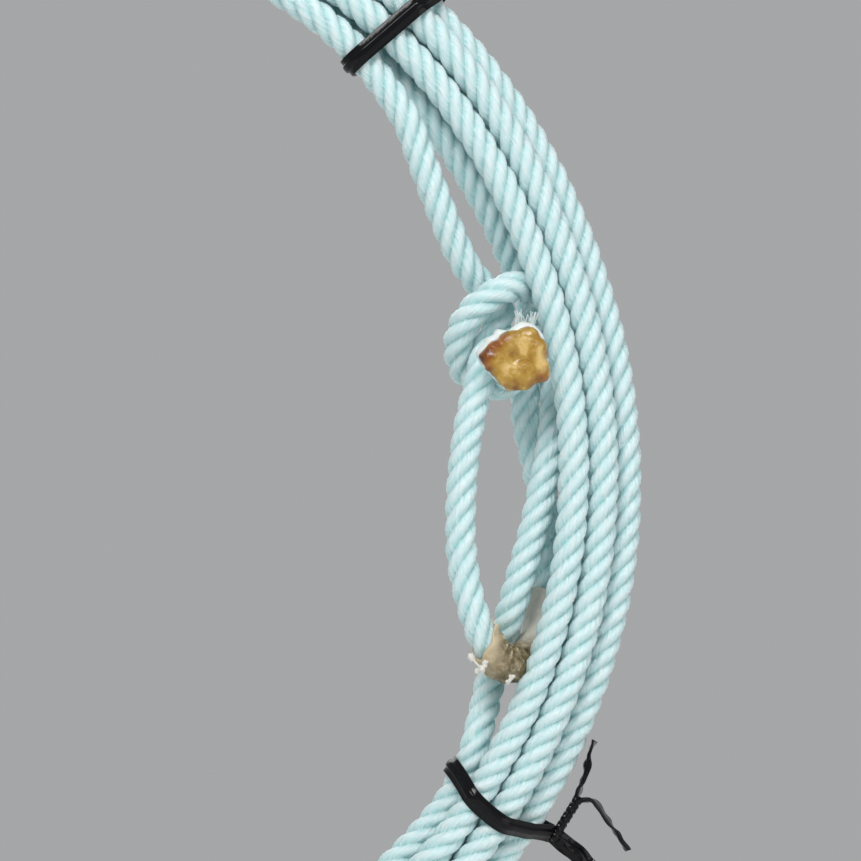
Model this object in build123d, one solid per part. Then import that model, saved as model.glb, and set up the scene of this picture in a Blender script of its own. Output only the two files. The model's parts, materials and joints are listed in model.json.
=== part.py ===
from build123d import *
import os
from math import cos, degrees, pi, radians, sin, tan

# A roping lariat: nine metres of four-strand nylon rope with a small running eye knotted
# into one end, wound into a round coil and held by four twist ties.
# Millimetres. The coil hangs in the XZ plane, +Z up, its front towards -Y. The origin is
# the inner top of the coil, where it rests on a peg.

# ---- driving dimensions ----
rope_d = 9.5               # rope diameter, the common 3/8 inch size
coil_outer_r = 198.2       # outside radius of the wound coil
layers = 3                 # layers of turns, from front to back
turns_across = 3.5         # turns side by side, with the half step between the layers
bundle_slack = 0.5         # room the turns keep between them over the whole bundle
bundle_corner_r = 7.5      # rounding of the bundle's section
front_turns_w = 22.0       # width of the turns that stay together beside the eye

tie_angles = (46.8, 140.4, 234.0, 327.7)   # places of the ties, anticlockwise from +X
tie_clearance = 0.3        # gap between a tie and the turns that it slides along
strap_w = 5.5              # twist tie's flat strap: width and thickness
strap_t = 0.6
rib_w = 1.6                # rib along the strap's middle: width and height over the strap
rib_h = 0.7
tie_wire_d = 0.6           # steel wire inside the rib
pigtail_d = 4.2            # the twisted end of a tie
pigtail_len = 13.0
pigtail_gap = 0.35         # gap between the pigtail's root and the rib
tail_t = 0.9               # the loose ends past the twist: thickness
tail_overlap = 1.5         # how far a loose end reaches past the twist's middle line
# How far each tie's twist is bent over, and its loose ends: where each leaves the twist
# (0 at the root, 1 at the tip), its turn anticlockwise from the twist, and its length.
straight_end = (0.0, [(1, -24.0, 24.0), (1, 31.0, 18.0)])
bent_end = (90.0, [(1, -113.0, 22.0), (1, 16.0, 18.0), (0, -100.0, 24.0)])
twisted_ends = (straight_end, straight_end, straight_end, bent_end)
tie_room = 2.0             # degrees from the ties beside the eye to where the turns part

sleeve_wall = 1.2          # rawhide burner round the eye's bend
sleeve_clearance = 0.1
stitch_d = 1.5
stitch_len = 6.5
stitch_count = 5
stitch_bite = 0.15         # how far a stitch sinks into the rawhide

button_t = 7.0             # melted button on the end in the knot: thickness and rounding
button_round = 2.2
button_bite = 1.0          # how far the tail's end sinks into the button
end_cap_d = 10.6           # melted cap on the rope's free end
end_cap_len = 12.0
cap_bite = 6.0             # how far the rope goes into its cap
cap_round = 2.1

recess_gap = 0.1           # gap between the knot and eye and the turns they lie against

arc_share = 0.45           # share of the shorter run that an arc of the rope may take

# ---- sizes that follow ----
rope_r = rope_d / 2
layer_step = rope_d * sin(radians(60))
bundle_w = turns_across * rope_d + bundle_slack
bundle_depth = rope_d + (layers - 1) * layer_step + bundle_slack
coil_inner_r = coil_outer_r - bundle_w
coil_mid_r = coil_outer_r - bundle_w / 2
coil_centre = Vector(0, 0, -coil_inner_r)
strap_half_angle = degrees(strap_w / 2 / coil_mid_r)
open_side = (tie_angles[3] - 360 + strap_half_angle + tie_room,
             tie_angles[0] - strap_half_angle - tie_room)
sleeve_r = rope_r + sleeve_clearance + sleeve_wall
root_r = coil_outer_r + tie_clearance + strap_t + rib_h + pigtail_gap + pigtail_d / 2

# The rope's route through the knot and eye, from its button end to where it joins the coil,
# measured from the coil's centre. Tail, wrap, right leg, bend, left leg, lead.
eye_route = [
    (158.8, -17.0, 34.9), (158.8, -10.0, 32.5), (158.3, -3.5, 28.7), (155.5, 2.0, 26.9),
    (151.1, 4.8, 27.2), (146.2, 5.0, 28.8), (142.9, 2.8, 32.4), (141.8, -1.0, 37.4),
    (142.5, -4.8, 42.9), (145.7, -7.5, 48.6), (151.1, -8.5, 53.0), (157.3, -7.0, 56.3),
    (163.0, -1.8, 56.6), (166.0, 2.0, 52.3), (165.4, 4.3, 46.3), (163.5, 5.2, 39.5),
    (162.2, 6.0, 33.0), (162.1, 8.8, 24.8), (162.6, 9.8, 15.5), (165.2, 9.8, 5.0),
    (168.0, 9.5, -8.0), (168.6, 9.3, -22.1), (168.3, 8.8, -37.0), (167.2, 5.8, -48.9),
    (161.4, -3.6, -56.3), (154.5, -9.8, -56.0), (150.1, -11.4, -50.3), (146.0, -11.7, -39.9),
    (143.0, -11.0, -26.6), (142.4, -10.5, -11.7), (143.3, -10.0, 3.1), (145.4, -9.0, 17.1),
    (148.7, -7.0, 29.3), (151.3, -3.5, 37.2), (155.0, 0.8, 44.4), (153.4, 3.0, 51.3),
    (147.6, 1.2, 58.0), (142.7, -3.5, 64.9), (137.1, -6.5, 78.0), (131.0, -8.0, 94.0),
    (125.8, -8.3, 109.0), (119.8, -8.3, 118.6),
]
bend_points = (23, 26)     # first and last points of the bend, which the burner covers
# The turn that runs through the eye, from the coil's lower end to its upper end.
running_route = [
    (146.0, -1.0, -86.0), (148.2, 0.7, -76.5), (150.4, 5.0, -68.5), (152.0, 7.0, -60.5),
    (153.9, 4.6, -52.4), (156.6, -0.5, -45.0), (159.4, -2.8, -34.6), (163.2, -2.8, -21.5),
    (166.2, -2.4, -9.4), (169.1, -1.8, 4.6), (170.8, 1.0, 14.5), (171.5, 7.2, 23.5),
    (170.8, 13.2, 34.5), (165.2, 14.3, 49.0), (159.0, 10.0, 64.1), (151.3, 4.5, 80.5),
    (140.4, 2.0, 98.3), (129.2, 1.3, 112.5), (120.9, 1.3, 120.9),
]
# The rope's free end, leaning off the inside of the coil at the lower left.
tail_route = [
    (-17.0, 7.5, -170.5), (-3.0, 7.5, -168.6), (10.5, 6.5, -165.4), (23.5, 5.0, -161.4),
    (35.4, 3.0, -155.2), (46.2, 1.5, -148.1),
]
# Outline of the melted button, seen from the front.
button_outline = [(148.4, 35.2), (153.6, 42.6), (160.6, 44.6), (166.4, 39.6), (167.6, 31.0),
                  (164.6, 26.8), (156.0, 25.0)]


def from_centre(point):
    """A point measured from the coil's centre, in the part's frame."""
    return coil_centre + Vector(*point)


def polar(angle, r, y=0.0):
    """A point at an angle round the coil, a radius and a depth."""
    return from_centre((r * cos(radians(angle)), y, r * sin(radians(angle))))


def section_plane(angle):
    """Plane across the coil at an angle: its x runs outwards and its y to the back."""
    outward = Vector(cos(radians(angle)), 0, sin(radians(angle)))
    return Plane(origin=polar(angle, coil_mid_r), x_dir=outward,
                 z_dir=outward.cross(Vector(0, 1, 0)))


# ---- rope ----
def corner_radii(points):
    """The largest arc that the two runs at each inner point leave room for."""
    radii = []
    for a, b, c in zip(points, points[1:], points[2:]):
        turn = (b - a).get_angle(c - b)
        radii.append(arc_share * min((b - a).length, (c - b).length) / tan(radians(turn / 2)))
    return radii


def stretch(route, first, last):
    """Points first to last of a route, begun and ended in the middle of the next runs."""
    points = [from_centre(p) for p in route]
    radii = corner_radii(points)[first - 1:last]
    start = (points[first - 1] + points[first]) / 2 if first > 1 else points[0]
    end = (points[last] + points[last + 1]) / 2 if last < len(route) - 2 else points[-1]
    return FilletPolyline(start, *points[first:last + 1], end, radius=radii), radii


def tube(path, outer_r, inner_r=0.0):
    """A round tube, or a rod, along a path."""
    start = Plane(origin=path @ 0, z_dir=path % 0)
    section = start * Circle(outer_r)
    if inner_r:
        section -= start * Circle(inner_r)
    return sweep(section, path=path)


def rope_piece(name, route, first, last):
    """One stretch of the rope as a solid rod, with its radii and volume printed."""
    path, radii = stretch(route, first, last)
    rod = tube(path, rope_r)
    expected = pi * rope_r ** 2 * path.length
    print(name, "length", round(path.length, 1), "volume ratio", round(rod.volume / expected, 4),
          "radii", [round(r, 1) for r in radii])
    return rod


def rope_pieces():
    return {
        "knot_tail": rope_piece("knot_tail", eye_route, 1, 6),
        "knot_wrap": rope_piece("knot_wrap", eye_route, 7, 14),
        "eye_right_leg": rope_piece("eye_right_leg", eye_route, 15, bend_points[0] - 1),
        "eye_bend": rope_piece("eye_bend", eye_route, *bend_points),
        "eye_left_leg": rope_piece("eye_left_leg", eye_route, bend_points[1] + 1, 32),
        "eye_lead": rope_piece("eye_lead", eye_route, 33, len(eye_route) - 2),
        "running_turn": rope_piece("running_turn", running_route, 1, len(running_route) - 2),
        "free_tail": rope_piece("free_tail", tail_route, 1, len(tail_route) - 2),
    }


def bundle_section(width, offset):
    """Rounded outline of the turns, offset outwards from the bundle's middle."""
    return Pos(offset, 0) * RectangleRounded(width, bundle_depth, bundle_corner_r)


def coil_sector(start, sweep_angle, width):
    """The turns from one angle round to another, as one solid of their outer shape."""
    plane = section_plane(start)
    section = plane * bundle_section(width, (bundle_w - width) / 2)
    axis = Axis(coil_centre, (0, -1, 0))
    return revolve(section, axis=axis, revolution_arc=sweep_angle)


def eye_recess():
    """Room that the turns beside the eye leave for its knot, right leg and burner."""
    lacing_r = sleeve_r + stitch_d + recess_gap
    spans = [(7, 14, rope_r + recess_gap), (15, bend_points[0] - 1, rope_r + recess_gap),
             (*bend_points, lacing_r)]
    room = [tube(stretch(eye_route, first, last)[0], r) for first, last, r in spans]
    room.append(tube(stretch(running_route, 1, len(running_route) - 2)[0], rope_r + recess_gap))
    return room


def coil_pieces():
    low, high = open_side
    front_turns = coil_sector(low, high - low, front_turns_w)
    for room in eye_recess():
        front_turns -= room
    return {
        "coil_turns": coil_sector(high, 360 - (high - low), bundle_w),
        "front_turns": front_turns,
    }


# ---- fittings of the eye and the ends ----
def melted_button():
    """The end in the knot, melted into a button that stops it pulling through."""
    tip = from_centre(eye_route[0])
    outline = [Vector(x, 0, z) + Vector(0, tip.Y + button_bite, -coil_inner_r)
               for x, z in button_outline]
    face = make_face(Polyline(*outline, close=True))
    button = extrude(face, amount=button_t, dir=(0, -1, 0))
    return fillet(button.edges(), button_round)


def burner():
    """Rawhide sleeve round the bend of the eye."""
    path, _ = stretch(eye_route, *bend_points)
    return tube(path, sleeve_r, rope_r + sleeve_clearance)


def burner_lacing():
    """Short stitches across the sleeve's seam, on the outside of the bend."""
    path, _ = stretch(eye_route, *bend_points)
    middle = (path @ 0 + path @ 1) / 2
    stitches = []
    for i in range(stitch_count):
        u = (i + 0.5) / stitch_count
        along = path % u
        outward = (path @ u) - middle
        outward = (outward - along * outward.dot(along)).normalized()
        seat = (path @ u) + outward * (sleeve_r + stitch_d / 2 - stitch_bite)
        side = along.cross(outward)
        stitches.append(Plane(origin=seat, z_dir=side) * Cylinder(stitch_d / 2, stitch_len))
    return Compound(stitches)


def free_end_cap():
    """Melted cap on the rope's free end."""
    tip = from_centre(tail_route[-1])
    along = (tip - from_centre(tail_route[-2])).normalized()
    plane = Plane(origin=tip + along * (end_cap_len / 2 - cap_bite), z_dir=along)
    cap = plane * Cylinder(end_cap_d / 2, end_cap_len)
    return fillet(cap.edges(), cap_round)


# ---- ties ----
def loop_face(inner_gap, thickness):
    """Flat loop round the bundle's section: its gap from the turns and its thickness."""
    grow = 2 * inner_gap
    outer = RectangleRounded(bundle_w + grow + 2 * thickness, bundle_depth + grow + 2 * thickness,
                             bundle_corner_r + inner_gap + thickness)
    return outer - RectangleRounded(bundle_w + grow, bundle_depth + grow,
                                    bundle_corner_r + inner_gap)


def tie_wire(plane):
    """Steel wire along the strap's rib, as a closed loop."""
    gap = tie_clearance + (strap_t + rib_h - tie_wire_d) / 2
    return plane * extrude(loop_face(gap, tie_wire_d), amount=tie_wire_d / 2, both=True)


def tie_strap(plane):
    """Plastic strap round the turns, with its rib and the channel for the wire."""
    strap = extrude(loop_face(tie_clearance, strap_t), amount=strap_w / 2, both=True)
    rib = extrude(loop_face(tie_clearance, strap_t + rib_h), amount=rib_w / 2, both=True)
    return plane * (strap + rib) - tie_wire(plane)


def tie_pigtail(angle, bend, tails):
    """The twisted end of a tie: the knuckle that it bends at, the twist and its loose ends."""
    heading = radians(angle + bend)
    root = Plane(origin=polar(angle, root_r), x_dir=(0, 1, 0),
                 z_dir=(cos(heading), 0, sin(heading)))
    shape = Rot(0, 90, 0) * Cylinder(pigtail_d / 2, strap_w)
    shape += Pos(0, 0, pigtail_len / 2) * Cylinder(pigtail_d / 2, pigtail_len)
    for place, turn, length in tails:
        flat = Pos(0, 0, (length - tail_overlap) / 2) * Box(strap_w, tail_t, length + tail_overlap)
        shape += Pos(0, 0, place * pigtail_len) * Rot(-turn, 0, 0) * flat
    return root * shape


def tie_pieces():
    parts = {}
    for number, (angle, (bend, tails)) in enumerate(zip(tie_angles, twisted_ends), 1):
        plane = section_plane(angle)
        parts[f"tie_strap_{number}"] = tie_strap(plane)
        parts[f"tie_wire_{number}"] = tie_wire(plane)
        parts[f"tie_pigtail_{number}"] = tie_pigtail(angle, bend, tails)
    return parts


nodes = {
    **coil_pieces(),
    **rope_pieces(),
    "melted_button": melted_button(),
    "burner": burner(),
    "burner_lacing": burner_lacing(),
    "free_end_cap": free_end_cap(),
    **tie_pieces(),
}

os.makedirs("parts", exist_ok=True)
for node, shape in nodes.items():
    export_step(shape, f"parts/{node}.step")
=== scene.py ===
import bpy
import json
import math
import random
import numpy as np
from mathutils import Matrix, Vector, noise


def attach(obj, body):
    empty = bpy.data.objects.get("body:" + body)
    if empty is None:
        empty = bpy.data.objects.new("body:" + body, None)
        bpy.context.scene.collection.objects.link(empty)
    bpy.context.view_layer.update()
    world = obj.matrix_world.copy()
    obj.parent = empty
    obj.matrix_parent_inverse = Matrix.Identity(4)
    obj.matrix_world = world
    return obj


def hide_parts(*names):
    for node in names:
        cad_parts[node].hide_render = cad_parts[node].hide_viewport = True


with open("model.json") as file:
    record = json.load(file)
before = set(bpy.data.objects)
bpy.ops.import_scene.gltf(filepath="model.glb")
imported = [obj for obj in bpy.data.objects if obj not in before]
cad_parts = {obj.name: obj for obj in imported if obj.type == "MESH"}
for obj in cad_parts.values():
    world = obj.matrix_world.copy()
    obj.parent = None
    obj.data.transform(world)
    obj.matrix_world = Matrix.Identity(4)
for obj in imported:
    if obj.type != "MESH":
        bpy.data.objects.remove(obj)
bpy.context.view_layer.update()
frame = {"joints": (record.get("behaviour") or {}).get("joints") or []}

# ---- sizes, in metres, from the frame ----
MM = 0.001
joints = {j["name"]: j for j in frame["joints"]}
centre = np.array(joints["tie_1_slide_round"]["pos_m"])
tie_angles = []
for number in range(1, 5):
    pivot = np.array(joints[f"pigtail_{number}_bend"]["pos_m"]) - centre
    tie_angles.append(math.degrees(math.atan2(pivot[2], pivot[0])) % 360)

rope_d = 9.5 * MM
lay_length = 25.0 * MM          # one full twist of the strands
strands = 4
ring_step = 1.6 * MM            # spacing of the rope mesh's rings
points_per_strand = 8
crown_share = 0.50              # strand's centre, as a share of the rope's radius
loop_step = 15                  # degrees between the control points of a wound turn
wound_start = 52.5              # angle of a wound stretch's first control point, in degrees
first_end, tail_start = 325, 255    # angles at which the first turn and the last one end
bundle_r = 181.3                # radius of the bundle's middle, in mm
# How far the turns spread (as a share) and stray (in mm) halfway between two ties: outwards
# from the coil's axis, and in depth.
spread_r, spread_y = 0.10, 0.08
stray_r, stray_y = 1.1, 0.9

# ---- the rope's route: points measured from the coil's centre ----
eye_route = [
    (0.1588, -0.0170, 0.0349), (0.1588, -0.0100, 0.0325), (0.1583, -0.0035, 0.0287),
    (0.1555, 0.0020, 0.0269), (0.1511, 0.0048, 0.0272), (0.1462, 0.0050, 0.0288),
    (0.1429, 0.0028, 0.0324), (0.1418, -0.0010, 0.0374), (0.1425, -0.0048, 0.0429),
    (0.1457, -0.0075, 0.0486), (0.1511, -0.0085, 0.0530), (0.1573, -0.0070, 0.0563),
    (0.1630, -0.0018, 0.0566), (0.1660, 0.0020, 0.0523), (0.1654, 0.0043, 0.0463),
    (0.1635, 0.0052, 0.0395), (0.1622, 0.0060, 0.0330), (0.1621, 0.0088, 0.0248),
    (0.1626, 0.0098, 0.0155), (0.1652, 0.0098, 0.0050), (0.1680, 0.0095, -0.0080),
    (0.1686, 0.0093, -0.0221), (0.1683, 0.0088, -0.0370), (0.1672, 0.0058, -0.0489),
    (0.1614, -0.0036, -0.0563), (0.1545, -0.0098, -0.0560), (0.1501, -0.0114, -0.0503),
    (0.1460, -0.0117, -0.0399), (0.1430, -0.0110, -0.0266), (0.1424, -0.0105, -0.0117),
    (0.1433, -0.0100, 0.0031), (0.1454, -0.0090, 0.0171), (0.1487, -0.0070, 0.0293),
    (0.1502, -0.0035, 0.0372), (0.1540, 0.0008, 0.0444), (0.1550, 0.0030, 0.0513),
    (0.1476, 0.0012, 0.0580), (0.1427, -0.0035, 0.0649), (0.1371, -0.0065, 0.0780),
    (0.1310, -0.0080, 0.0940), (0.1258, -0.0083, 0.1090),
]
running_route = [
    (0.1460, -0.0010, -0.0860), (0.1482, 0.0007, -0.0765), (0.1504, 0.0050, -0.0685),
    (0.1520, 0.0070, -0.0605), (0.1539, 0.0046, -0.0524), (0.1566, -0.0005, -0.0450),
    (0.1594, -0.0028, -0.0346), (0.1632, -0.0028, -0.0215), (0.1662, -0.0024, -0.0094),
    (0.1691, -0.0018, 0.0046), (0.1708, 0.0010, 0.0145), (0.1715, 0.0072, 0.0235),
    (0.1708, 0.0132, 0.0345), (0.1652, 0.0143, 0.0490), (0.1590, 0.0100, 0.0641),
    (0.1513, 0.0045, 0.0805), (0.1404, 0.0020, 0.0983), (0.1292, 0.0013, 0.1125),
    (0.1209, 0.0013, 0.1209),
]
tail_route = [
    (-0.0170, 0.0075, -0.1705), (-0.0030, 0.0075, -0.1686), (0.0105, 0.0065, -0.1654),
    (0.0235, 0.0050, -0.1614), (0.0354, 0.0030, -0.1552), (0.0462, 0.0015, -0.1481),
]

# Places in the bundle: radius and depth in mm. Front, middle and back rows; outer, middle
# and inner. "low" is the same place at the lower tie beside the eye, "top" at the upper one.
places = {
    "front_out": (188.7, -8.4), "front_mid": (179.2, -8.4), "front_in": (169.4, -8.4),
    "mid_out": (193.3, 0.0), "mid_mid": (183.7, 0.0), "mid_in": (174.3, 0.0),
    "back_out": (188.7, 8.3), "back_mid": (179.2, 8.3), "back_in": (169.8, 8.3),
    "mid_in_top": (171.3, 1.3), "mid_in_low": (169.6, -0.6),
    "front_out_low": (184.7, -8.1), "front_mid_low": (175.6, -8.3),
    "mid_out_low": (192.4, -1.4), "mid_mid_low": (179.8, 0.3),
    "back_out_low": (188.5, 7.9), "back_mid_low": (177.0, 8.5),
}
# How the turns lie beside the eye, between the two ties: angle, radius, depth.
beside_eye = {
    "front_mid": [(349, 175.9, -9.8), (381, 176.7, -9.8)],
    "front_out": [(349, 185.0, -6.5), (381, 185.4, -6.6)],
    "mid_out": [(349, 192.7, 0.3), (381, 191.7, 0.8)],
    "mid_mid": [(349, 181.8, 2.2), (381, 182.0, 2.2)],
    "back_out": [(349, 190.8, 10.0), (371, 191.6, 9.9), (384, 191.0, 9.8)],
    "back_mid": [(349, 181.2, 12.0), (371, 183.4, 13.6), (384, 182.4, 12.5)],
}
# Each turn's way round the far side: where it is at which angle, from one tie to the next.
turn_ways = [
    [(46.8, "mid_in_top"), (85, "back_in"), (190, "back_in"), (225, "back_mid"),
     (270, "back_mid")],
    [(46.8, "back_mid"), (180, "back_mid"), (215, "back_out"), (270, "back_out")],
    [(46.8, "back_out"), (170, "back_out"), (205, "mid_out"), (270, "mid_out")],
    [(46.8, "mid_out"), (160, "mid_out"), (195, "front_out"), (270, "front_out")],
    [(46.8, "front_out"), (150, "front_out"), (185, "front_mid"), (270, "front_mid")],
    [(46.8, "front_mid"), (100, "front_mid"), (136, "mid_mid"), (270, "mid_mid")],
    [(46.8, "mid_mid"), (75, "mid_mid"), (115, "mid_in"), (236, "mid_in"), (258, "back_in")],
]
first_way = [(46.8, "front_in"), (272, "front_in"), (318, "mid_in_low"),
             (327.7, "mid_in_low")]


# ---- the rope ----
def smooth(t):
    return t * t * (3 - 2 * t)


def stations(way):
    """A turn's way as (angle, radius, depth), with its part beside the eye added."""
    out = [(angle, *places[name]) for angle, name in way]
    last = way[-1][1]
    if last in beside_eye:
        out.append((318, *places[last + "_low"]))
        out.append((332, *places[last + "_low"]))
        out += beside_eye[last]
    return out


def place_at(table, angle):
    """Radius and depth at an angle, eased from each row of the table to the next."""
    for (a, ra, ya), (b, rb, yb) in zip(table, table[1:]):
        if a <= angle <= b:
            t = smooth((angle - a) / (b - a))
            return ra + (rb - ra) * t, ya + (yb - ya) * t
    return table[-1][1:] if angle > table[-1][0] else table[0][1:]


def looseness(angle):
    """How far the turns stand apart: nothing at a tie and most halfway between two. It is
    nothing beside the eye too, where stations() says how they lie."""
    turn = angle % 360
    edges = sorted(tie_angles)
    edges = [edges[-1] - 360] + edges + [edges[0] + 360]
    for low, high in zip(edges, edges[1:]):
        if low <= turn <= high:
            if low < 0 or high > 360:
                return 0.0
            return math.sin(math.pi * (turn - low) / (high - low)) ** 2
    return 0.0


def wound_points(table, last, rng):
    """Control points of a wound stretch, as far as an angle. They stand a little outside the
    circle, so that the spline through them runs along it."""
    lift = 1 / math.cos(math.radians(loop_step / 2))
    points = []
    for angle in np.arange(wound_start, last, loop_step):
        r, y = place_at(table, angle)
        loose = looseness(angle)
        r = bundle_r + (r - bundle_r) * (1 + spread_r * loose)
        r += rng.uniform(-stray_r, stray_r) * loose
        y = y * (1 + spread_y * loose) + rng.uniform(-stray_y, stray_y) * loose
        turn = math.radians(angle)
        r *= lift * MM
        points.append((r * math.cos(turn), y * MM, r * math.sin(turn)))
    return points


def rope_route():
    """The rope's control points, from the button in the knot to the free end."""
    rng = random.Random(7)
    points = list(eye_route)
    points += wound_points(stations(first_way), first_end, rng)
    points += running_route
    table = []
    for lap, way in enumerate(turn_ways):
        table += [(angle + 360 * lap, r, y) for angle, r, y in stations(way)]
    points += wound_points(table, 360 * (len(turn_ways) - 1) + tail_start, rng)
    points += tail_route
    return [np.array(p) + centre for p in points]


def spline_points(route):
    """The smooth line of a NURBS spline with the route's points as control points."""
    curve = bpy.data.curves.new("route", "CURVE")
    curve.dimensions = "3D"
    curve.resolution_u = 20
    spline = curve.splines.new("NURBS")
    spline.points.add(len(route) - 1)
    for point, co in zip(spline.points, route):
        point.co = (*co, 1)
    spline.order_u = 3
    spline.use_endpoint_u = True
    holder = bpy.data.objects.new("route", curve)
    bpy.context.scene.collection.objects.link(holder)
    bpy.context.view_layer.update()
    line = bpy.data.meshes.new_from_object(holder)
    points = np.array([v.co[:] for v in line.vertices])
    bpy.data.objects.remove(holder)
    bpy.data.meshes.remove(line)
    return points


def lengths_along(points):
    """How far along a line each of its points is."""
    return np.concatenate([[0], np.cumsum(np.linalg.norm(np.diff(points, axis=0), axis=1))])


def even_points(points, step):
    """The same line with evenly spaced points, and how far along it each one is."""
    lengths = lengths_along(points)
    along = np.linspace(0, lengths[-1], int(lengths[-1] / step) + 1)
    return np.column_stack([np.interp(along, lengths, axis) for axis in points.T]), along


def frames_along(points):
    """Tangent and two square directions at each point, without twist."""
    tangent = np.gradient(points, axis=0)
    tangent /= np.linalg.norm(tangent, axis=1)[:, None]
    side = np.zeros_like(points)
    side[0] = np.cross(tangent[0], (0.3, 0.2, 1.0))
    side[0] /= np.linalg.norm(side[0])
    for i in range(1, len(points)):
        s = side[i - 1] - tangent[i] * side[i - 1].dot(tangent[i])
        side[i] = s / np.linalg.norm(s)
    return tangent, side, np.cross(tangent, side)


def strand_profile(angle):
    """The rope's outline, as a share of its radius, and 0 in a groove to 1 on a crown."""
    sector = 2 * math.pi / strands
    off = (angle + sector / 2) % sector - sector / 2
    a, s = crown_share, 1 - crown_share
    r = a * np.cos(off) + np.sqrt(s * s - (a * np.sin(off)) ** 2)
    low = a * math.cos(sector / 2) + math.sqrt(s * s - (a * math.sin(sector / 2)) ** 2)
    return r, (r - low) / (1 - low)


def link(name, mesh, material):
    """A smooth object of a mesh, in the scene."""
    mesh.polygons.foreach_set("use_smooth", np.ones(len(mesh.polygons), dtype=bool))
    mesh.update()
    thing = bpy.data.objects.new(name, mesh)
    thing.data.materials.append(material)
    bpy.context.scene.collection.objects.link(thing)
    return thing


def ring_mesh(name, sweeps, closed=False):
    """One mesh of sweeps, each an array of rings (ring, point, xyz), capped unless closed."""
    verts, faces = [], []
    for rings in sweeps:
        count, around = rings.shape[:2]
        base = sum(len(v) for v in verts)
        i = np.arange(count if closed else count - 1)[:, None]
        j = np.arange(around)[None, :]
        here, there = base + i * around, base + (i + 1) % count * around
        k = (j + 1) % around
        quads = np.stack([here + j, here + k, there + k, there + j], axis=-1)
        faces += quads.reshape(-1, 4).tolist()
        verts.append(rings.reshape(-1, 3))
        if not closed:
            verts.append(np.stack([rings[0].mean(0), rings[-1].mean(0)]))
            start, last = base + count * around, base + (count - 1) * around
            faces += [(start, base + (p + 1) % around, base + p) for p in range(around)]
            faces += [(start + 1, last + p, last + (p + 1) % around) for p in range(around)]
    mesh = bpy.data.meshes.new(name)
    mesh.from_pydata(np.concatenate(verts).tolist(), [], faces)
    return mesh


def ring_piece(name, sweeps, material, closed=False):
    """An object of sweeps, with nothing but a material on it."""
    return link(name, ring_mesh(name, sweeps, closed), material)


def ring_uv(mesh, name, u, v):
    """A UV map over a ring mesh's quads: one (u, v) per ring and point, and the same past the seam."""
    low, high = u[:-1], u[1:]
    v_low, v_high = v[:-1], v[1:]
    step = 1 / u.shape[1]
    corners = [(low, v_low), (low, v_low + step), (high, v_high + step), (high, v_high)]
    quads = np.stack([np.stack(c, -1) for c in corners], axis=2).reshape(-1, 2)
    caps = np.zeros((len(mesh.loops) - len(quads), 2))
    layer = mesh.uv_layers.new(name=name)
    layer.data.foreach_set("uv", np.concatenate([quads, caps]).astype(np.float32).ravel())


def point_value(mesh, name, values):
    """A number on each point of a mesh, for its material."""
    filled = np.zeros(len(mesh.vertices), dtype=np.float32)
    filled[:values.size] = values.ravel()
    mesh.attributes.new(name, "FLOAT", "POINT").data.foreach_set("value", filled)


def make_rope(material):
    """The whole rope in one piece, and its line and lengths for what is fitted to it."""
    line, along = even_points(spline_points(rope_route()), ring_step)
    _, side, up = frames_along(line)
    around = strands * points_per_strand
    angles = (np.arange(around) + points_per_strand / 2) * 2 * math.pi / around
    share, crown = strand_profile(angles)
    twist = along * 2 * math.pi / lay_length
    # slow waves of 1.5 percent, so that no two stretches look the same
    swell = 1 + 0.015 * np.sin(along[:, None] * 310 + angles * 2) * np.sin(along[:, None] * 97)
    turn = angles[None, :] + twist[:, None]
    r = rope_d / 2 * share[None, :] * swell
    rings = (line[:, None] + (r * np.cos(turn))[..., None] * side[:, None]
             + (r * np.sin(turn))[..., None] * up[:, None])
    mesh = ring_mesh("rope", [rings])
    ring_uv(mesh, "yarns", along[:, None] + 0 * turn, turn / (2 * math.pi))
    # groove-to-crown value; the material turns it into painted shade in the grooves and painted light
    # on the crowns
    point_value(mesh, "crown", np.repeat(crown[None], len(line), 0))
    return link("rope", mesh, material), line, along


# ---- small helpers ----
def rough(points, scale, seed=0.0):
    """Smooth noise from -1 to 1 at each point; scale is the size of its bumps in metres."""
    flat = points.reshape(-1, 3) / scale + seed
    values = [noise.noise(Vector(p)) for p in flat.tolist()]
    return np.array(values).reshape(points.shape[:-1])


def at(route_mm):
    """Points given in mm from the coil's centre, in the scene."""
    return np.array(route_mm, dtype=float) * MM + centre


def swept(line, side, up, outline):
    """Rings along a line: outline is (ring or 1, point, 2) of distances along side and up."""
    w, h = outline[..., 0, None], outline[..., 1, None]
    return line[:, None] + w * side[:, None] + h * up[:, None]


def radial(degrees):
    """The direction away from the coil's axis at an angle."""
    turn = math.radians(degrees)
    return np.array([math.cos(turn), 0, math.sin(turn)])


def circle(radius, count):
    """An outline for swept()."""
    turn = np.arange(count) * 2 * math.pi / count
    return radius * np.stack([np.cos(turn), np.sin(turn)], axis=-1)[None]


def ball_rings(radius, rows, around):
    """Rings of a ball round the origin, from pole to pole."""
    down = np.linspace(0.05, math.pi - 0.05, rows)[:, None]
    turn = np.arange(around) * 2 * math.pi / around
    flat = np.stack([np.sin(down) * np.cos(turn), np.sin(down) * np.sin(turn)], axis=-1)
    return radius * np.concatenate([flat, (np.cos(down) + 0 * turn)[..., None]], axis=-1)


def lumpy(rings, height, scale, seed):
    """Rings pushed outwards and inwards by smooth noise."""
    away = unit(rings - rings.mean((0, 1)))
    return rings + away * (rough(rings, scale, seed) * height)[..., None]


def unit(vectors):
    return vectors / np.linalg.norm(vectors, axis=-1, keepdims=True)


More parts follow.
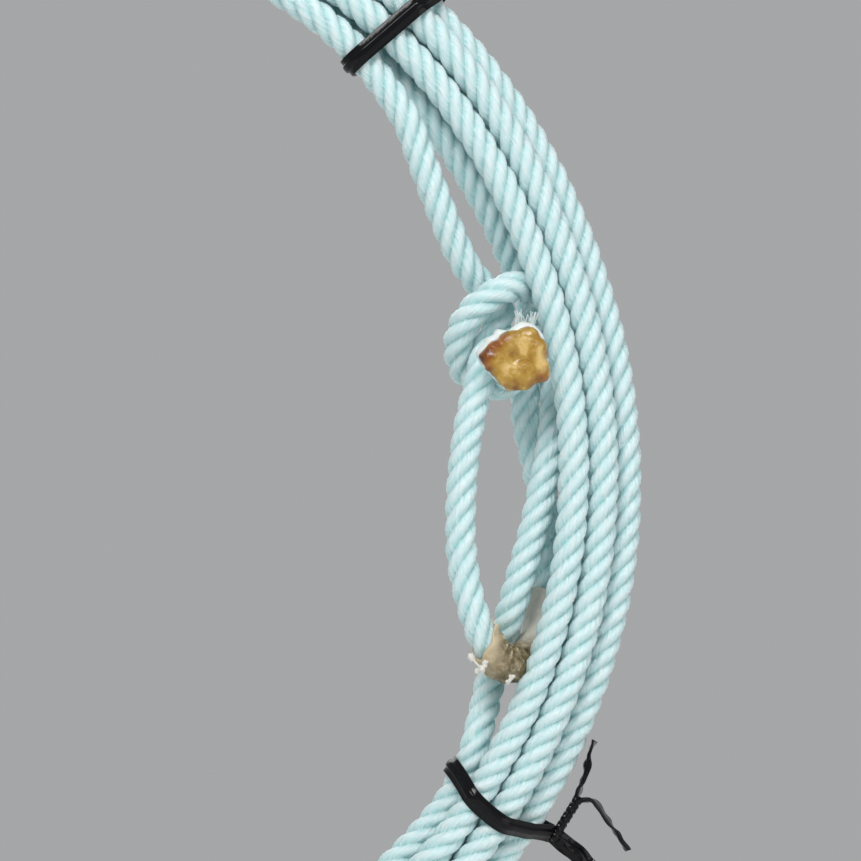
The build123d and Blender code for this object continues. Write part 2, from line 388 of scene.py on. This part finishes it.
# ---- ties ----
strap_w, strap_h = 5.6 * MM, 1.2 * MM
strap_outline = np.array([
    (-2.6, 0.0), (2.6, 0.0), (2.8, 0.15), (2.8, 0.45), (2.65, 0.55), (1.35, 0.5),
    (1.15, 0.8), (0.95, 1.1), (0.65, 1.17), (0.0, 1.2), (-0.65, 1.17), (-0.95, 1.1),
    (-1.15, 0.8), (-1.35, 0.5), (-2.65, 0.55), (-2.8, 0.45), (-2.8, 0.15)]) * MM
strap_gap = 0.1 * MM            # between a strap and the circles round the turns
tip_r = 200.5 * MM              # radius at which a strap is pulled to a point
wire_r, wire_lift = 0.3 * MM, 0.75 * MM     # the wire in the rib, and its height in it
squeezed_w, squeezed_h = 3.8 * MM, 1.5 * MM     # a strap's end in the twist
loose_h = 1.0 * MM              # thickness of a loose end
twist_len, twist_pitch, twist_r = 13.0, 6.5, 0.9    # in mm
# How each strap lies, in mm round the coil: shift, skew from inside to outside, front's sag.
strap_lie = [(1.2, -2.0, 0.0), (0.3, 1.4, 0.8), (-0.4, -1.2, 0.6), (0.0, -1.6, -3.8)]
# How far each twisted end is bent over, and its loose ends: turn from the twist, length (mm).
straight_end = (0, [(31, 18.0), (-24, 24.0)])
bent_end = (90, [(16, 18.0), (-113, 22.0)])
twisted_ends = (straight_end, straight_end, straight_end, bent_end)
root_end = (-100, 24.0)         # the lower tie's third loose end, from the twist's root
backward = np.array([0, 1, 0])


def crossings(line, angle):
    """Radius and depth of the rope wherever it crosses the section at an angle."""
    flat = line - centre
    off = (np.degrees(np.arctan2(flat[:, 2], flat[:, 0])) - angle + 180) % 360 - 180
    near = (off[:-1] * off[1:] <= 0) & (np.abs(off[:-1]) < 5)
    return np.stack([np.hypot(flat[:-1, 0], flat[:-1, 2])[near], flat[:-1, 1][near]], axis=-1)


def hull(points):
    """The points' outline, anticlockwise (monotone chain)."""
    points = sorted(map(tuple, points))
    chains = []
    for run in (points, points[::-1]):
        chain = []
        for p in run:
            while len(chain) > 1:
                a, b = chain[-2:]
                if (b[0] - a[0]) * (p[1] - a[1]) - (b[1] - a[1]) * (p[0] - a[0]) > 0:
                    break
                chain.pop()
            chain.append(p)
        chains += chain[:-1]
    return np.array(chains)


def strap_loop(line, number):
    """The strap's loop round the turns, pulled to a point where its twisted end starts. It is
    laid round the turns' places over the whole slide and a fifth more."""
    angle = tie_angles[number - 1]
    low, high = joints[f"tie_{number}_slide_round"]["range_deg"]
    offs = np.linspace(low * 1.2, high * 1.2, 17)
    turns = np.concatenate([crossings(line, angle + off) for off in offs])
    rims = [place + circle(rope_d / 2 + strap_gap, 48)[0] for place in turns]
    tip = np.array([[tip_r, 0.0]]) + circle(0.6 * MM, 24)[0]
    outline = hull(np.concatenate(rims + [tip]))
    loop = even_points(np.concatenate([outline, outline[:1]]), 0.9 * MM)[0][:-1]
    middle, half = (loop.min(0) + loop.max(0)) / 2, (loop.max(0) - loop.min(0)) / 2
    across, depth = ((loop - middle) / half).T
    shift, skew, sag = strap_lie[number - 1]
    along = (shift + skew * across + sag * np.clip(-depth, 0, 1) * (1 - across ** 2)) * MM
    along *= np.clip((tip_r - loop[:, 0]) / (6 * MM), 0, 1)
    out, onward = radial(angle), radial(angle + 90)
    return centre + loop[:, :1] * out + loop[:, 1:] * backward + along[:, None] * onward


def make_tie(line, number, plastic, steel):
    """A tie's strap and the wire in its rib."""
    loop = strap_loop(line, number)
    ahead = unit(np.roll(loop, -1, 0) - np.roll(loop, 1, 0))
    up = unit(loop - loop.mean(0))
    side = unit(np.cross(up, ahead))
    up = np.cross(ahead, side)
    strap = ring_piece(
        f"strap_{number}", [swept(loop, side, up, strap_outline[None])], plastic, closed=True)
    wire_rings = swept(loop + up * wire_lift, side, up, circle(wire_r, 8))
    wire = ring_piece(f"wire_{number}", [wire_rings], steel, closed=True)
    for piece, node_name, slot in (
            (strap, "tie_strap", "tie_plastic"), (wire, "tie_wire", "tie_wire")):
        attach(piece, f"tie_{number}")
        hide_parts(f"{node_name}_{number}")


def strap_outlines(width, thick):
    """The strap's outline at each point of a line, brought to the widths and thicknesses."""
    return strap_outline[None] / (strap_w, strap_h) * np.stack([width, thick], -1)[:, None]


def ribbon(line, up, width, thick, seed):
    """A strap's loose end along a line, its flat face towards up, crinkled a little."""
    ahead = unit(np.gradient(line, axis=0))
    lifted = unit(up - ahead * (ahead * up).sum(1)[:, None])
    side = np.cross(ahead, lifted)
    turns = 0.3 * np.sin(np.linspace(0, 7, len(line)) + seed)
    cos, sin = np.cos(turns)[:, None], np.sin(turns)[:, None]
    up, side = lifted * cos + side * sin, side * cos - lifted * sin
    outline = strap_outlines(width, thick)
    curl = 0.22 * MM * np.sin(np.linspace(0, 22, len(line)) + seed)
    outline[..., 1] += curl[:, None] * np.sign(outline[..., 0]) - thick[:, None] / 2
    return swept(line, side, up, outline)


def twisted_half(number, half):
    """One of the two strap ends in a tie's twist: round the other one, then off on its own."""
    root = np.array(joints[f"pigtail_{number}_bend"]["pos_m"])
    bend, tails = twisted_ends[number - 1]
    spread, length = tails[half]
    rng = random.Random(number * 2 + half)

    heading = tie_angles[number - 1] + bend
    out, across = radial(heading), radial(heading + 90)
    points = []
    for s in np.arange(-1.0, twist_len + 0.1, twist_pitch / 12):
        turn = 2 * math.pi * s / twist_pitch + half * math.pi
        off = across * math.cos(turn) + backward * math.sin(turn)
        points.append(root + (out * s + off * twist_r) * MM)
    helix_length = lengths_along(points[:-1])[-1]
    place = points[-1]
    for step in range(1, 8):
        turned = spread * min(1, step / 2.2) + rng.uniform(-8, 8) * (step > 2)
        place = place + radial(heading + turned) * length / 7 * MM
        points.append(place + backward * rng.uniform(-0.5, 0.5) * MM)
    line, along = even_points(spline_points(points), 0.35 * MM)
    twist_end = np.searchsorted(along, helix_length)
    from_axis = line - root - np.outer((line - root) @ out, out)
    ahead = unit(np.gradient(line, axis=0))
    first = unit(from_axis[:twist_end])
    first = unit(first - ahead[:twist_end] * (first * ahead[:twist_end]).sum(1)[:, None])
    side = np.cross(ahead[:twist_end], first)
    outline = strap_outlines(np.full(twist_end, squeezed_w), np.full(twist_end, squeezed_h))
    outline[..., 1] -= squeezed_h * 0.6
    twist = swept(line[:twist_end], side, first, outline)
    rest = line[twist_end - 1:]
    grow = np.clip(np.linspace(0, 3.5, len(rest)), 0, 1)
    edge_on = np.cross(unit(np.gradient(rest, axis=0)), backward)
    edge_on *= np.sign(edge_on[3] @ first[-1])
    tail = ribbon(rest, edge_on, squeezed_w + (strap_w - squeezed_w) * grow,
                  squeezed_h + (loose_h - squeezed_h) * grow, number + half)
    return np.concatenate([twist, tail[1:]])


def make_twisted_end(number, plastic):
    """Both strap ends twisted together, on a lump at the root; the lower tie's has a third."""
    sweeps = [twisted_half(number, half) for half in range(2)]
    root = np.array(joints[f"pigtail_{number}_bend"]["pos_m"])
    sweeps.append(lumpy(root + ball_rings(1.9 * MM, 9, 14), 0.5 * MM, 1.2 * MM, number))
    if number == 4:
        out = radial(tie_angles[3] + twisted_ends[3][0] + root_end[0])
        steps = np.linspace(-1.2, root_end[1], 6) * MM
        wave = np.array([0, 0, 0.9, -0.4, 0.8, -0.6]) * MM
        points = root + np.outer(steps, out) + np.outer(wave, np.cross(out, backward))
        line = even_points(spline_points(points), 0.5 * MM)[0]
        front = np.tile(-backward, (len(line), 1))
        wide, thick = np.full(len(line), strap_w), np.full(len(line), loose_h)
        sweeps.append(ribbon(line, front, wide, thick, 2.0))
    piece = ring_piece(f"twisted_end_{number}", sweeps, plastic)
    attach(piece, f"pigtail_{number}")
    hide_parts(f"tie_pigtail_{number}")


# ---- button on the end in the knot ----
# Outline from the front, in mm from the coil's centre, and where the nylon is scorched
# darkest: place, reach, strength.
button_outline = [
    (148.2, 35.2), (151.1, 39.0), (154.3, 41.6), (157.6, 41.8), (161.2, 44.0), (164.6, 43.0),
    (166.6, 40.4), (168.0, 36.6), (168.5, 31.4), (167.6, 28.4), (164.6, 26.8), (160.5, 25.4),
    (156.4, 24.9), (153.6, 28.0), (149.9, 31.6)]
scorches = [(148.4, 34.4, 2.6, 1.0), (150.2, 36.4, 2.8, 0.75), (152.6, 38.4, 2.6, 0.6),
            (155.2, 40.4, 2.4, 0.5), (166.8, 28.4, 3.0, 0.5), (150.6, 31.6, 1.8, 0.55),
            (168.4, 36.0, 1.6, 0.6), (163.5, 26.4, 2.2, 0.4), (158.8, 25.2, 1.8, 0.4)]


def button_rings(back, front, rows, offset=(0, 0), grow=1.0):
    """Rings of the button's disc, from its back to its front, in mm from the coil's centre;
    rows are (share of size, share of depth)."""
    closed = np.array(button_outline + button_outline[:1], dtype=float)
    rim = even_points(closed, 0.55)[0][:-1]
    for _ in range(2):
        rim = (np.roll(rim, 1, 0) + 2 * rim + np.roll(rim, -1, 0)) / 4
    middle = rim.mean(0)
    rings = []
    for size, depth in rows:
        flat = middle + (rim - middle) * size * grow + offset
        y = np.full(len(flat), back + (front - back) * depth)
        rings.append(at(np.column_stack([flat[:, 0], y, flat[:, 1]])))
    return np.array(rings)


button_rows = [(0.05, 0.0), (0.45, 0.0), (0.72, 0.05), (0.9, 0.15), (0.98, 0.3), (1.0, 0.5),
               (0.99, 0.68), (0.94, 0.84), (0.84, 0.94), (0.7, 1.0), (0.55, 1.0), (0.4, 0.97),
               (0.25, 0.99), (0.1, 1.0), (0.02, 1.0)]


def make_button(amber, white):
    """The melted button, and the unscorched nylon that shows round its back."""
    rings = button_rings(-16.5, -22.6, button_rows)
    rings = lumpy(lumpy(rings, 1.5 * MM, 4.2 * MM, 3.1), 0.35 * MM, 1.7 * MM, 8.4)
    mesh = ring_mesh("button", [rings])
    flat = (rings - centre) / MM
    scorch = np.zeros(flat.shape[:2])
    for x, z, reach, strength in scorches:
        away = np.hypot(flat[..., 0] - x, flat[..., 2] - z)
        scorch = np.maximum(scorch, strength * np.exp(-(away / reach) ** 2))
    point_value(mesh, "scorch", scorch)
    button = link("button", mesh, amber)
    rows = [(0.3, 0.0), (0.8, 0.0), (0.97, 0.3), (1.02, 0.6), (0.97, 0.9), (0.8, 1.0), (0.3, 1.0)]
    rim = button_rings(-15.0, -19.2, rows, offset=(-0.6, 0.9), grow=1.05)
    return button, ring_piece("button_rim", [lumpy(rim, 0.5 * MM, 2.5 * MM, 5.0)], white)


def make_frayed_yarns(white):
    """Ends of yarns that didn't melt, above the button."""
    rng = random.Random(21)
    sweeps = []
    for _ in range(20):
        x, z = rng.uniform(158.5, 164.4), rng.uniform(43.0, 45.0)
        lean, rise = rng.uniform(-1.6, 1.6), rng.uniform(2.5, 5.2)
        points = at([(x, -15.8, z), (x + lean * 0.4, -16.6, z + rise * 0.5),
                     (x + lean, -16.2 + rng.uniform(-1, 1), z + rise)])
        line = even_points(spline_points(points), 0.5 * MM)[0]
        _, side, up = frames_along(line)
        sweeps.append(swept(line, side, up, circle(0.13 * MM, 5)))
    return ring_piece("frayed_yarns", sweeps, white)


# ---- burner, in mm ----
eye_middle = (156.0, -3.0, -30.0)
sleeve_r, sleeve_wall = 5.6, 0.7
stitch_r = 6.2                  # the stitches' distance from the rope's line


def arclength_near(line, along, point_mm):
    """How far along the rope's first half metre a point is."""
    early = along < 0.5
    return along[early][np.argmin(np.linalg.norm(line[early] - at(point_mm), axis=1))]


def along_line(values, along, s):
    """What values, given at the points of a line, are at distances s along it."""
    return np.stack([np.interp(s, along, values[:, i]) for i in range(3)], axis=-1)


def sleeve_ends(line, along):
    """Where the burner starts, on the eye's right leg, and ends, on its left leg."""
    return (arclength_near(line, along, (168.5, 9.0, -34.5)),
            arclength_near(line, along, (148.3, -11.6, -46.5)))


def make_burner(line, along, material):
    """Rawhide sleeve round the eye's bend: slanted lips, creased on the inside of the bend."""
    start, end = sleeve_ends(line, along)
    _, side, up = frames_along(line)
    middle = at(eye_middle)
    count, around = 90, 48
    turn = np.arange(around) * 2 * math.pi / around
    mid = along_line(line, along, np.array([end]))[0]
    s_mid, u_mid = along_line(side, along, [end])[0], along_line(up, along, [end])[0]
    inward = math.atan2(u_mid @ (middle - mid), s_mid @ (middle - mid))
    lips = end - 1.3 * MM + 4.0 * MM * np.cos(turn - inward) + 0.4 * MM * np.sin(turn * 5)
    starts = start + 0.8 * MM * np.sin(turn * 3)
    share = np.linspace(0, 1, count)[:, None]
    s = starts + (lips - starts) * share
    place, out_side = along_line(line, along, s), along_line(side, along, s)
    out_up = along_line(up, along, s)
    away = unit(out_side * np.cos(turn)[None, :, None] + out_up * np.sin(turn)[None, :, None])
    inside = (away * unit(middle - place)).sum(-1) * 0.5 + 0.5
    surface = place + away * 6 * MM
    gathered = smooth(np.clip((share - 0.45) / 0.3, 0, 1))
    crease = np.sin(s / MM * 1.9 + 2.6 * rough(surface, 4 * MM, 2.0)) * gathered
    r = sleeve_r + (0.1 + 0.45 * inside ** 1.5) * crease + 0.35 * rough(surface, 2.4 * MM, 6.0)
    r += 0.2 * rough(surface, 0.9 * MM, 1.0)
    r -= 0.3 * np.exp(-((1 - share) * 12) ** 2)
    outer = place + away * r[..., None] * MM
    inner = place + away * (r - sleeve_wall)[..., None] * MM
    # outside from start to lip, then back along the inside: a closed section all round
    section = np.concatenate([outer, inner[::-1]]).transpose(1, 0, 2)
    mesh = ring_mesh("rawhide_sleeve", [section], closed=True)
    # how deep each crease is; the material darkens the troughs as painted shade
    height = np.concatenate([crease * (0.3 + 0.7 * inside), crease[::-1] * 0]).T
    point_value(mesh, "crease", height)
    edge = np.exp(-((1 - share) * 10) ** 2) + 0 * r
    arm = 1 - smooth(np.clip((share - 0.35) / 0.25, 0, 1)) + 0 * r
    point_value(mesh, "arm", 0.85 * np.concatenate([arm, arm[::-1]]).T)
    point_value(mesh, "edge", np.concatenate([edge, edge[::-1]]).T)
    return link("rawhide_sleeve", mesh, material)


lacing_knots = [(145.8, -14.0, -53.5, 1.15), (149.9, -17.0, -55.0, 0.9), (148.8, -16.6, -56.6, 1.1),
                (147.6, -15.4, -57.3, 0.8), (157.6, -15.8, -59.2, 0.85), (156.4, -15.0, -60.8, 0.7)]
lacing_runs = [(0, 2, 0.3), (1, 2, 0.6), (2, 3, 0.6), (4, 5, 0.55)]   # two knots, lace's radius
stitch_shares = (0.06, 0.2, 0.34, 0.48, 0.62)      # places of the stitches along the sleeve


def blob(point, radius, seed):
    """A knot of the lace."""
    return lumpy(at(point) + ball_rings(radius * MM, 9, 12), 0.8 * radius * MM, 0.9 * MM, seed)


def lace(points, radius):
    """A run of the lace along a spline."""
    line = even_points(spline_points(points), 0.4 * MM)[0]
    _, side, up = frames_along(line)
    return swept(line, side, up, circle(radius * MM, 8))


def make_lacing(line, along, material):
    """The lace that closes the sleeve's seam: knots at its lip and stitches outside the bend."""
    sweeps = [blob(knot[:3], knot[3], i * 3.7) for i, knot in enumerate(lacing_knots)]
    for a, b, radius in lacing_runs:
        first, last = np.array(lacing_knots[a][:3]), np.array(lacing_knots[b][:3])
        sweeps.append(lace(at([first, (first + last) / 2 + (0, -0.5, -0.4), last]), radius))
    start, end = sleeve_ends(line, along)
    ahead = frames_along(line)[0]
    for share in stitch_shares:
        s = start + (end - start) * share
        place, forward = along_line(line, along, s), unit(along_line(ahead, along, s))
        out = place - at(eye_middle)
        out = unit(out - forward * (out @ forward))
        across = np.cross(forward, out)
        points = []
        for a in (-0.55, -0.25, 0.0, 0.25, 0.55):
            away = out * math.cos(a) + across * math.sin(a)
            points.append(place + (away * stitch_r + forward * a * 1.4) * MM)
        sweeps.append(lace(points, 0.5))
    return ring_piece("sleeve_lacing", sweeps, material)


def make_end_cap(line, material):
    """The melted free end: a rounded, slightly swollen cap."""
    ahead = unit(line[-1] - line[-4])
    side = unit(np.cross(ahead, backward))
    up = np.cross(side, ahead)
    # distance past the rope's end, and radius there
    rows = [(-6.0, 4.6), (-5.2, 5.1), (-3.5, 5.3), (-1.0, 5.3), (1.5, 5.25), (3.6, 4.9), (5.0, 4.0),
            (5.8, 2.6), (6.1, 1.0), (6.15, 0.2)]
    rings = np.array([line[-1] + ahead * s * MM + circle(r * MM, 32)[0] @ np.stack([side, up])
                      for s, r in rows])
    return ring_piece("end_cap", [lumpy(rings, 0.45 * MM, 3 * MM, 1.0)], material)


# ---- materials ----
def new_material(name, **values):
    """A material, its nodes and its shader, with values set on the shader's sockets."""
    material = bpy.data.materials.new(name)
    material.use_nodes = True
    shader = material.node_tree.nodes["Principled BSDF"]
    for key, value in values.items():
        shader.inputs[key.replace("_", " ")].default_value = value
    return material, material.node_tree, shader


def node(tree, kind, **settings):
    """A new node, with each setting put on the socket or the property of that name."""
    made = tree.nodes.new(kind)
    for key, value in settings.items():
        if key in made.inputs:
            made.inputs[key].default_value = value
        else:
            setattr(made, key, value)
    return made


def ramp(tree, source, stops):
    """The colour that a number stands for; stops are (number, colour)."""
    made = tree.nodes.new("ShaderNodeValToRGB")
    elements = made.color_ramp.elements
    while len(elements) < len(stops):
        elements.new(0.5)
    for element, (place, colour) in zip(elements, stops):
        element.position = place
        element.color = (*colour, 1)
    tree.links.new(source, made.inputs["Fac"])
    return made.outputs["Color"]


def bump(tree, shader, height, strength, distance):
    made = node(tree, "ShaderNodeBump", Strength=strength, Distance=distance)
    tree.links.new(height, made.inputs["Height"])
    tree.links.new(made.outputs["Normal"], shader.inputs["Normal"])


def value_of(tree, name):
    """A number that point_value() put on the mesh."""
    return node(tree, "ShaderNodeAttribute", attribute_name=name).outputs["Fac"]


def noise_of(tree, scale, detail=3.0, stretch=(1, 1, 1), uv=None):
    """Noise over the surface: in metres of the object's space, or along a UV map."""
    source = node(tree, "ShaderNodeUVMap", uv_map=uv) if uv else node(tree, "ShaderNodeTexCoord")
    mapping = node(tree, "ShaderNodeMapping")
    mapping.inputs["Scale"].default_value = stretch
    tree.links.new(source.outputs["UV" if uv else "Object"], mapping.inputs["Vector"])
    made = node(tree, "ShaderNodeTexNoise", Scale=scale, Detail=detail, Roughness=0.6)
    tree.links.new(mapping.outputs["Vector"], made.inputs["Vector"])
    return made.outputs["Fac"]


def mixed(tree, factor, a, b):
    """From a to b as factor goes from 0 to 1; each of the three is a socket or a constant."""
    made = tree.nodes.new("ShaderNodeMix")
    made.data_type = "RGBA"
    for socket, value in ((made.inputs[0], factor), (made.inputs[6], a), (made.inputs[7], b)):
        if isinstance(value, bpy.types.NodeSocket):
            tree.links.new(value, socket)
        else:
            socket.default_value = (*value, 1) if isinstance(value, tuple) else value
    return made.outputs[2]


def multiplied(tree, a, b):
    made = node(tree, "ShaderNodeMix", data_type="RGBA", blend_type="MULTIPLY")
    made.inputs[0].default_value = 1.0
    tree.links.new(a, made.inputs[6])
    tree.links.new(b, made.inputs[7])
    return made.outputs[2]


def rope_material():
    """Pale aqua nylon: painted shade in the grooves and painted light on the crowns, with paler yarns
    along the strands.
    """
    material, tree, shader = new_material(
        "rope_nylon", Roughness=0.3, Subsurface_Weight=0.6, Subsurface_Scale=0.004,
        Subsurface_Radius=(0.7, 1.0, 1.0))
    # painted shade and light: darker teal in the grooves, paler on the crowns
    colour = ramp(tree, value_of(tree, "crown"), [
        (0.0, (0.40, 0.70, 0.70)), (0.3, (0.50, 0.77, 0.78)),
        (0.65, (0.58, 0.82, 0.84)), (1.0, (0.66, 0.86, 0.88))])
    yarns = noise_of(tree, 1.0, stretch=(120, 32, 1), uv="yarns")
    pale = ramp(tree, yarns, [(0.42, (0, 0, 0)), (0.72, (1, 1, 1))])
    shade = mixed(tree, pale, colour, (0.80, 0.91, 0.92))
    tree.links.new(shade, shader.inputs["Base Color"])
    bump(tree, shader, yarns, 1.0, 0.0008)
    return material


def melted_material():
    """Scorched amber nylon of the button."""
    material, tree, shader = new_material(
        "melted_nylon_amber", Roughness=0.18, Coat_Weight=0.35, Coat_Roughness=0.08,
        Subsurface_Weight=0.1, Subsurface_Scale=0.002, Subsurface_Radius=(1.0, 0.6, 0.2))
    tone = ramp(tree, noise_of(tree, 190), [
        (0.34, (0.26, 0.11, 0.010)), (0.44, (0.39, 0.21, 0.020)), (0.54, (0.46, 0.28, 0.045)),
        (0.66, (0.68, 0.46, 0.15))])
    burnt = ramp(tree, value_of(tree, "scorch"), [
        (0.15, (1, 1, 1)), (0.5, (0.72, 0.40, 0.18)), (0.95, (0.24, 0.11, 0.06))])
    brown = multiplied(tree, tone, burnt)
    tree.links.new(brown, shader.inputs["Base Color"])
    bump(tree, shader, noise_of(tree, 700), 0.6, 0.0008)
    return material


def plain_material(name, colour, bump_scale=0, bump_depth=0.0, **values):
    """One colour, with a fine bump where a scale is given."""
    material, tree, shader = new_material(name, Base_Color=(*colour, 1), **values)
    if bump_scale:
        bump(tree, shader, noise_of(tree, bump_scale), 0.5, bump_depth)
    return material


def rawhide_material():
    """Dry rawhide: mottled brown, with painted shade in its creases, pale on its right arm and its
    lip.
    """
    material, tree, shader = new_material(
        "rawhide_dry", Roughness=0.55, Subsurface_Weight=0.1, Subsurface_Scale=0.001)
    tone = ramp(tree, noise_of(tree, 420, detail=6.0), [
        (0.34, (0.10, 0.075, 0.03)), (0.50, (0.33, 0.27, 0.15)), (0.64, (0.70, 0.64, 0.50))])
    # painted shade: the tone is darkened in the creases' troughs
    painted_crease_shade = ramp(tree, value_of(tree, "crease"), [(0.2, (0.5, 0.46, 0.38)), (0.75, (1, 1, 1))])
    arm = mixed(tree, value_of(tree, "arm"), multiplied(tree, tone, painted_crease_shade), (0.60, 0.58, 0.52))
    pale = mixed(tree, value_of(tree, "edge"), arm, (0.60, 0.50, 0.33))
    tree.links.new(pale, shader.inputs["Base Color"])
    bump(tree, shader, noise_of(tree, 900, detail=6.0), 0.6, 0.0005)
    return material


# ---- camera, light and stage ----
def make_camera():
    """Square on to the coil's right-hand side, a little above its middle."""
    data = bpy.data.cameras.new("camera")
    view_width, distance = 0.2557, 0.9
    data.sensor_width = 36
    data.lens = data.sensor_width * distance / view_width
    camera = bpy.data.objects.new("camera", data)
    camera.location = (centre[0] + 0.1337, centre[1] - 0.008 - distance, centre[2] + 0.0134)
    camera.rotation_euler = (math.radians(90), 0, 0)
    bpy.context.scene.collection.objects.link(camera)
    bpy.context.scene.camera = camera


def area_light(name, place, target, size, power):
    data = bpy.data.lights.new(name, "AREA")
    data.size = size
    data.energy = power
    light = bpy.data.objects.new(name, data)
    light.location = place
    light.rotation_euler = (Vector(target) - Vector(place)).to_track_quat("-Z", "Y").to_euler()
    bpy.context.scene.collection.objects.link(light)


def make_studio():
    """Soft light from the front and behind, and a plain pale floor."""
    bpy.context.scene.view_settings.view_transform = "Standard"
    world = bpy.data.worlds.new("studio")
    world.use_nodes = True
    background = world.node_tree.nodes["Background"]
    background.inputs["Color"].default_value = (0.90, 0.91, 0.92, 1)
    background.inputs["Strength"].default_value = 0.42
    bpy.context.scene.world = world
    middle = tuple(centre)
    area_light("key", (-0.3, -1.2, 1.0), middle, 0.6, 14.5)
    area_light("glint", (0.35, -1.2, 0.9), middle, 0.12, 3)
    area_light("fill", (1.1, -1.0, 0.0), middle, 1.0, 4)
    area_light("back", (-0.3, 1.2, 0.7), middle, 1.0, 8)
    bpy.ops.mesh.primitive_circle_add(vertices=64, radius=1.0, fill_type="NGON",
                                      location=(0, 0, centre[2] - 0.26))
    floor = bpy.context.object
    floor.name = "floor"
    floor.data.materials.append(plain_material("floor", (0.78, 0.78, 0.77), Roughness=0.8))


make_camera()
make_studio()
rope, rope_line, rope_along = make_rope(rope_material())
plastic = plain_material("tie_black_plastic", (0.003, 0.003, 0.004), 300, 0.0003, Roughness=0.14,
                         Specular_IOR_Level=0.22)
steel = plain_material("tie_steel", (0.55, 0.55, 0.55), Metallic=1.0, Roughness=0.3)
amber = melted_material()
white = plain_material("melted_nylon_white", (0.80, 0.84, 0.82), 500, 0.0003, Roughness=0.3,
                       Subsurface_Weight=0.3, Subsurface_Scale=0.002)
white_lace = plain_material("lace_white", (0.78, 0.76, 0.70), 1500, 0.0003, Roughness=0.5)

button, button_rim = make_button(amber, white)
yarns = make_frayed_yarns(white)
sleeve = make_burner(rope_line, rope_along, rawhide_material())
lacing = make_lacing(rope_line, rope_along, white_lace)
end_cap = make_end_cap(rope_line, amber)
for piece, stands_for, slot in (
        (rope, ("coil_turns", "front_turns", "running_turn", "eye_lead", "knot_wrap", "knot_tail",
                "eye_left_leg", "eye_bend", "eye_right_leg", "free_tail"), "rope"),
        (button, ("melted_button",), "melted_nylon"), (button_rim, (), "melted_nylon"),
        (yarns, (), "rope"), (sleeve, ("burner",), "rawhide"),
        (lacing, ("burner_lacing",), "lacing"), (end_cap, ("free_end_cap",), "melted_nylon")):
    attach(piece, "coil")
    if stands_for:
        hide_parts(*stands_for)
for number in range(1, 5):
    make_tie(rope_line, number, plastic, steel)
    make_twisted_end(number, plastic)
